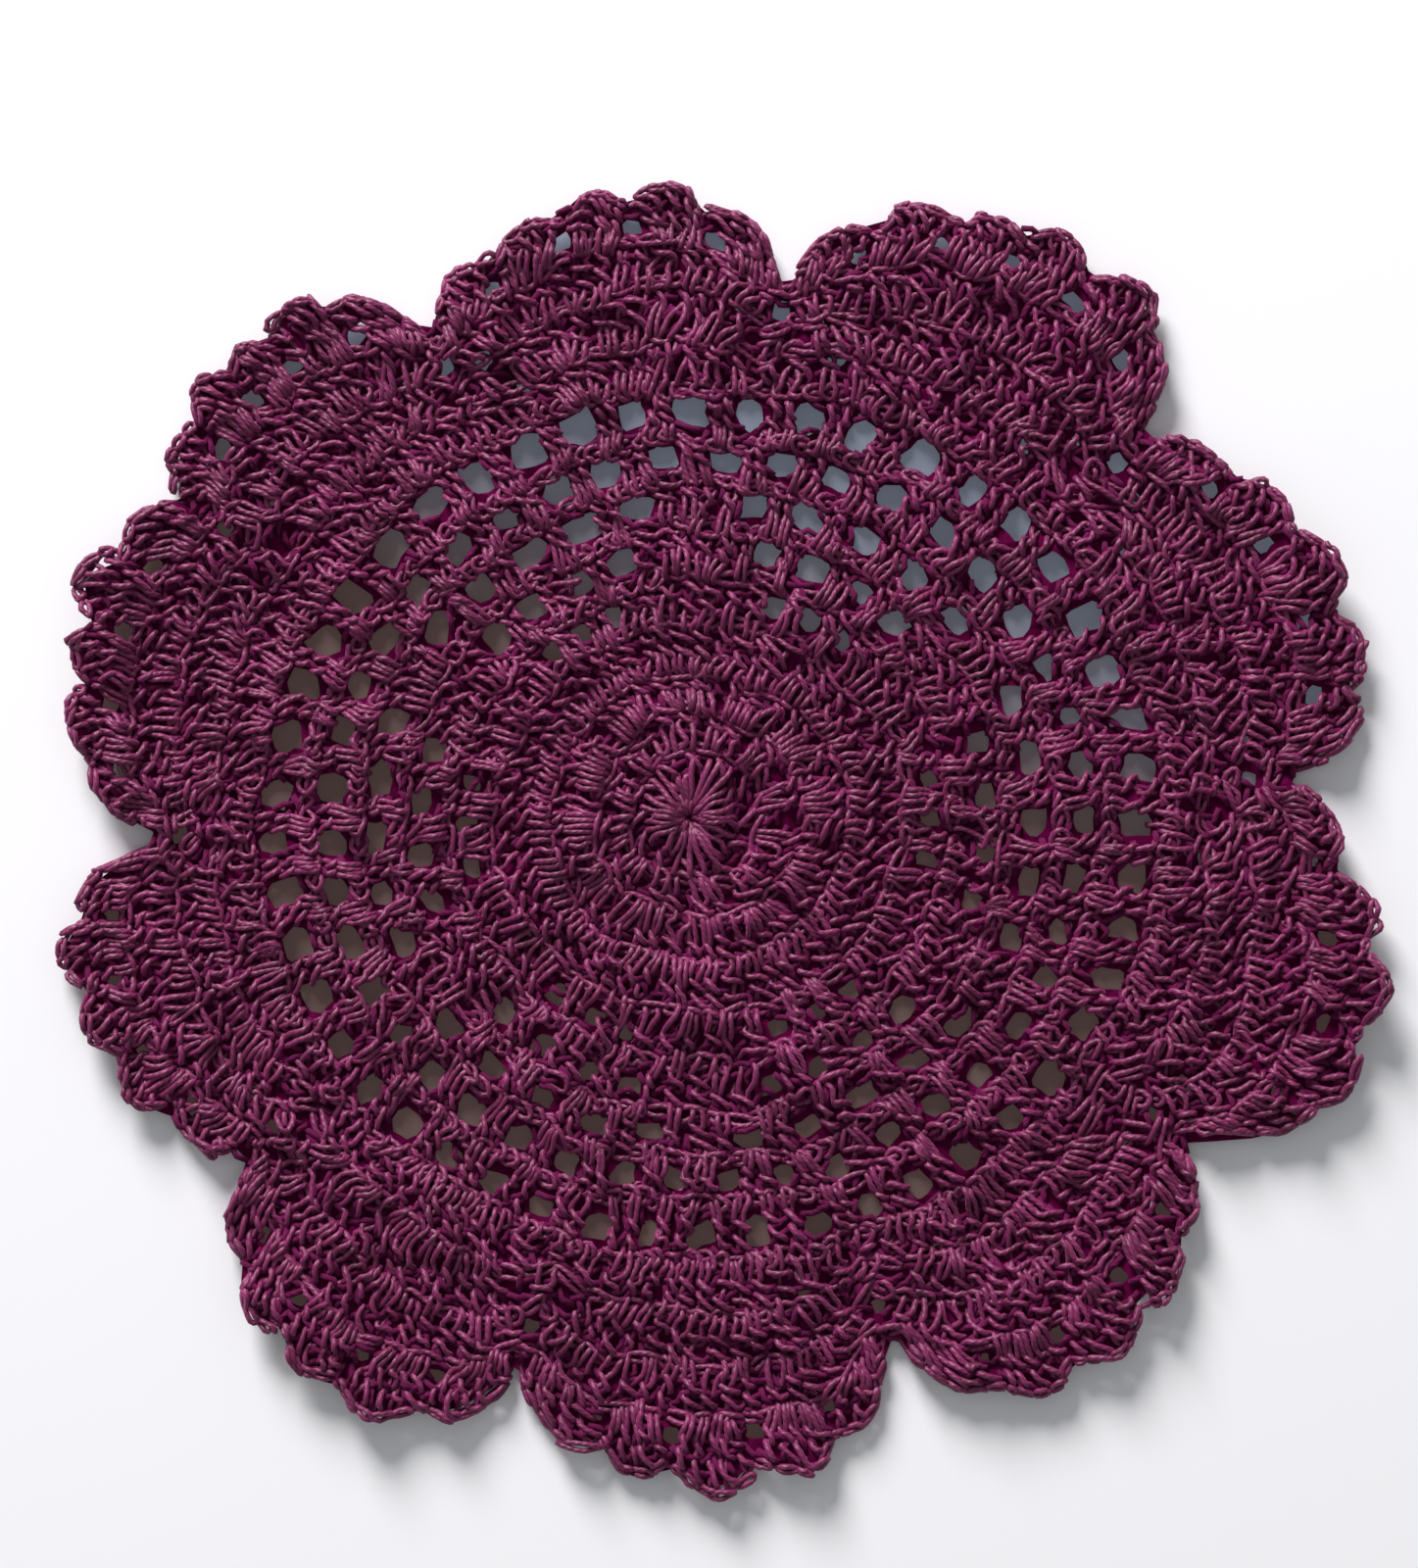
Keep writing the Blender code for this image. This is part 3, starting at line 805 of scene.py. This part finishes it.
def cotton_material(look):
    """Mercerised cotton: two close tones, a ply twist as bump, and a soft gloss."""
    material = bpy.data.materials.new(look.name)
    material.use_nodes = True
    nodes, links = material.node_tree.nodes, material.node_tree.links
    shader = nodes["Principled BSDF"]
    shader.inputs["Roughness"].default_value = look.roughness
    shader.inputs["Sheen Weight"].default_value = look.sheen
    shader.inputs["Sheen Roughness"].default_value = SHEEN_ROUGHNESS
    shader.inputs["Sheen Tint"].default_value = SHEEN_TINT
    shader.inputs["Specular IOR Level"].default_value = look.specular

    place = nodes.new("ShaderNodeTexCoord")
    patches = nodes.new("ShaderNodeTexNoise")
    patches.inputs["Scale"].default_value = PATCH_SCALE
    patches.inputs["Detail"].default_value = 3.0
    links.new(place.outputs["Object"], patches.inputs["Vector"])
    tone = nodes.new("ShaderNodeValToRGB")
    tone.color_ramp.elements[0].position = PATCH_RANGE[0]
    tone.color_ramp.elements[0].color = (*look.dark, 1.0)
    tone.color_ramp.elements[1].position = PATCH_RANGE[1]
    tone.color_ramp.elements[1].color = (*look.light, 1.0)
    links.new(patches.outputs["Fac"], tone.inputs["Fac"])
    links.new(tone.outputs["Color"], shader.inputs["Base Color"])

    thread = nodes.new("ShaderNodeUVMap")
    thread.uv_map = "thread"
    split = nodes.new("ShaderNodeSeparateXYZ")
    links.new(thread.outputs["UV"], split.inputs["Vector"])
    along = nodes.new("ShaderNodeMath")
    along.operation = "MULTIPLY"
    along.inputs[1].default_value = 1.0 / PLY_PITCH
    links.new(split.outputs["X"], along.inputs[0])
    girth = nodes.new("ShaderNodeMath")
    girth.operation = "MULTIPLY_ADD"
    girth.inputs[1].default_value = PLIES
    links.new(split.outputs["Y"], girth.inputs[0])
    links.new(along.outputs["Value"], girth.inputs[2])
    phase = nodes.new("ShaderNodeMath")
    phase.operation = "MULTIPLY"
    phase.inputs[1].default_value = math.tau
    links.new(girth.outputs["Value"], phase.inputs[0])
    wave = nodes.new("ShaderNodeMath")
    wave.operation = "SINE"
    links.new(phase.outputs["Value"], wave.inputs[0])
    bump = nodes.new("ShaderNodeBump")
    bump.inputs["Strength"].default_value = PLY_STRENGTH
    bump.inputs["Distance"].default_value = PLY_HEIGHT
    links.new(wave.outputs["Value"], bump.inputs["Height"])
    links.new(bump.outputs["Normal"], shader.inputs["Normal"])
    return material


def shade_web_material():
    """Painted shade deep in the work: a dark cotton tone with no gloss, on the web between the strands."""
    material = bpy.data.materials.new("web_painted_shade")
    material.use_nodes = True
    nodes, links = material.node_tree.nodes, material.node_tree.links
    shader = nodes["Principled BSDF"]
    shader.inputs["Roughness"].default_value = 0.9
    shader.inputs["Specular IOR Level"].default_value = 0.0
    place = nodes.new("ShaderNodeTexCoord")
    fibre = nodes.new("ShaderNodeTexNoise")
    fibre.inputs["Scale"].default_value = WEB_FIBRE_SCALE
    links.new(place.outputs["Object"], fibre.inputs["Vector"])
    tone = nodes.new("ShaderNodeValToRGB")
    tone.color_ramp.elements[0].color = WEB_SHADE_DARKER
    tone.color_ramp.elements[1].color = WEB_SHADE_LIGHTER
    links.new(fibre.outputs["Fac"], tone.inputs["Fac"])
    links.new(tone.outputs["Color"], shader.inputs["Base Color"])
    return material


def shown(name, mesh, material):
    """A new piece of the doily, which rides on its one body."""
    piece = bpy.data.objects.new(name, mesh)
    mesh.materials.append(material)
    bpy.context.scene.collection.objects.link(piece)
    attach(piece, BODY)
    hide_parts(NODE)
    return piece


def centre_round():
    """The first round: its stitches, and over them the strands of the start."""
    thread = close_round(1.6, CLOSE_ROUNDS[0], 12, 1, 1.0, 1.0, 0.0)
    centre_strands(thread)
    return thread


def make_doily():
    cotton = cotton_material(FACE_COTTON)
    shaded_deep_cotton = cotton_material(SHADED_DEEP_COTTON)
    threads = [
        centre_round(),
        close_round(CLOSE_ROUNDS[0], CLOSE_ROUNDS[1], 12, 2, 0.7, 0.8, 0.4),
        close_round(CLOSE_ROUNDS[1], CLOSE_ROUNDS[2], 12, 4, 0.75, 0.95, 0.1),
        close_round(CLOSE_ROUNDS[2], CLOSE_ROUNDS[3], 60, 1, 1.0, 1.0, 0.3),
    ]
    inner = CLOSE_ROUNDS[-1]
    for row in MESH_ROWS:
        threads.append(mesh_round(row, inner))
        inner = row.outer
    threads += [fan_round(level) for level in range(len(FAN_ROUNDS))]
    threads += [shell_round(range(0, 5)), shell_round(range(5, 10))]
    for number, thread in enumerate(threads, 1):
        name = f"round_{number:02d}"
        shown(name, thread_mesh(name, thread.points()), cotton)
    loops = web_loops()
    # The deep strands wear the darker copy of the cotton, as painted shade
    shown("deep_strands", deep_mesh(loops), shaded_deep_cotton)
    mesh, area = web_mesh(loops)
    web = shown("web", mesh, shade_web_material())


# The floor and the cloth under the doily, which are stage
FLOOR_SIZE = 4.0
FLOOR_COLOUR = (0.86, 0.87, 0.88, 1.0)
UNDERLAY_INSET = 3.2
UNDERLAY_RIM = 0.02
UNDERLAY_HEIGHT = 0.5
UNDERLAY_SHOULDER = 4.0
UNDERLAY_SLOPE = (5.0, 14.0, 0.0)  # its tone runs along this, a metre at a time
UNDERLAY_RANGE = (0.15, 0.88)
UNDERLAY_WARM = (0.074, 0.046, 0.042, 1.0)
UNDERLAY_COOL = (0.130, 0.148, 0.190, 1.0)
# Painted light: how strongly the cloth glows in its own tones, to lift the shade in the openings
UNDERLAY_PAINTED_LIGHT = 0.55


def make_floor():
    bpy.ops.mesh.primitive_plane_add(size=FLOOR_SIZE, location=(0.0, 0.0, 0.0))
    floor = bpy.context.object
    floor.name = "floor"
    material = bpy.data.materials.new("pale_floor")
    material.use_nodes = True
    shader = material.node_tree.nodes["Principled BSDF"]
    shader.inputs["Base Color"].default_value = FLOOR_COLOUR
    shader.inputs["Roughness"].default_value = 0.8
    floor.data.materials.append(material)


def make_underlay():
    """The grey cloth that shows through the openings, cut back so that the doily hides its edge, and glowing
    a little in its own tones as painted light in the openings' shade.
    """
    rim = cut_back(UNDERLAY_INSET, 1.0)
    raised = cut_back(UNDERLAY_INSET + UNDERLAY_SHOULDER, 1.0)
    count = len(rim)
    heights = np.repeat((UNDERLAY_RIM, UNDERLAY_HEIGHT), count)
    verts = np.column_stack((np.concatenate((rim, raised)), heights)) * MM
    mesh = bpy.data.meshes.new("underlay")
    slopes = [(k, (k + 1) % count, (k + 1) % count + count, k + count) for k in range(count)]
    mesh.from_pydata(verts, [], [*slopes, tuple(range(count, 2 * count))])
    underlay = bpy.data.objects.new("underlay", mesh)
    bpy.context.scene.collection.objects.link(underlay)
    material = bpy.data.materials.new("grey_cloth")
    material.use_nodes = True
    shader = material.node_tree.nodes["Principled BSDF"]
    shader.inputs["Roughness"].default_value = 0.9
    nodes, links = material.node_tree.nodes, material.node_tree.links
    place = nodes.new("ShaderNodeTexCoord")
    slope = nodes.new("ShaderNodeVectorMath")
    slope.operation = "DOT_PRODUCT"
    slope.inputs[1].default_value = UNDERLAY_SLOPE
    links.new(place.outputs["Object"], slope.inputs[0])
    tone = nodes.new("ShaderNodeValToRGB")
    tone.color_ramp.interpolation = "EASE"
    tone.color_ramp.elements[0].position = UNDERLAY_RANGE[0]
    tone.color_ramp.elements[0].color = UNDERLAY_WARM
    tone.color_ramp.elements[1].position = UNDERLAY_RANGE[1]
    tone.color_ramp.elements[1].color = UNDERLAY_COOL
    links.new(slope.outputs["Value"], tone.inputs["Fac"])
    links.new(tone.outputs["Color"], shader.inputs["Base Color"])
    # The cloth glows a little in its own tones: painted light that lifts the shade in the openings
    links.new(tone.outputs["Color"], shader.inputs["Emission Color"])
    shader.inputs["Emission Strength"].default_value = UNDERLAY_PAINTED_LIGHT
    mesh.materials.append(material)


# Light: a soft disk from beyond the top of the photograph, and an even sky. In metres and watts
KEY_PLACE = (-0.60, 1.60, 0.78)
KEY_SIZE = 0.80
KEY_POWER = 68.0
KEY_COLOUR = (1.0, 0.96, 0.98)
SKY_COLOUR = (0.95, 0.97, 1.0, 1.0)
SKY_STRENGTH = 0.37


def make_lights():
    data = bpy.data.lights.new("key", "AREA")
    data.shape = "DISK"
    data.size = KEY_SIZE
    data.energy = KEY_POWER
    data.color = KEY_COLOUR
    light = bpy.data.objects.new("key", data)
    light.location = KEY_PLACE
    light.rotation_euler = (-light.location).to_track_quat("-Z", "Y").to_euler()
    bpy.context.scene.collection.objects.link(light)
    world = bpy.data.worlds.new("studio")
    world.use_nodes = True
    sky = world.node_tree.nodes["Background"]
    sky.inputs["Color"].default_value = SKY_COLOUR
    sky.inputs["Strength"].default_value = SKY_STRENGTH
    bpy.context.scene.world = world


# Camera: straight down, on the middle of the photograph's frame
VIEW_MIDDLE = (2.44, 4.74)
VIEW_HEIGHT = 236.8
LENS = 85.0
SENSOR = 36.0
SHEET_TOP = 2.4


def make_camera():
    data = bpy.data.cameras.new("camera")
    data.lens = LENS
    data.sensor_width = SENSOR
    data.clip_start = 0.01
    camera = bpy.data.objects.new("camera", data)
    distance = VIEW_HEIGHT * LENS / SENSOR + SHEET_TOP
    camera.location = (VIEW_MIDDLE[0] * MM, VIEW_MIDDLE[1] * MM, distance * MM)
    bpy.context.scene.collection.objects.link(camera)
    bpy.context.scene.camera = camera


make_camera()
make_doily()
make_floor()
make_underlay()
make_lights()
bpy.context.scene.view_settings.view_transform = "Standard"
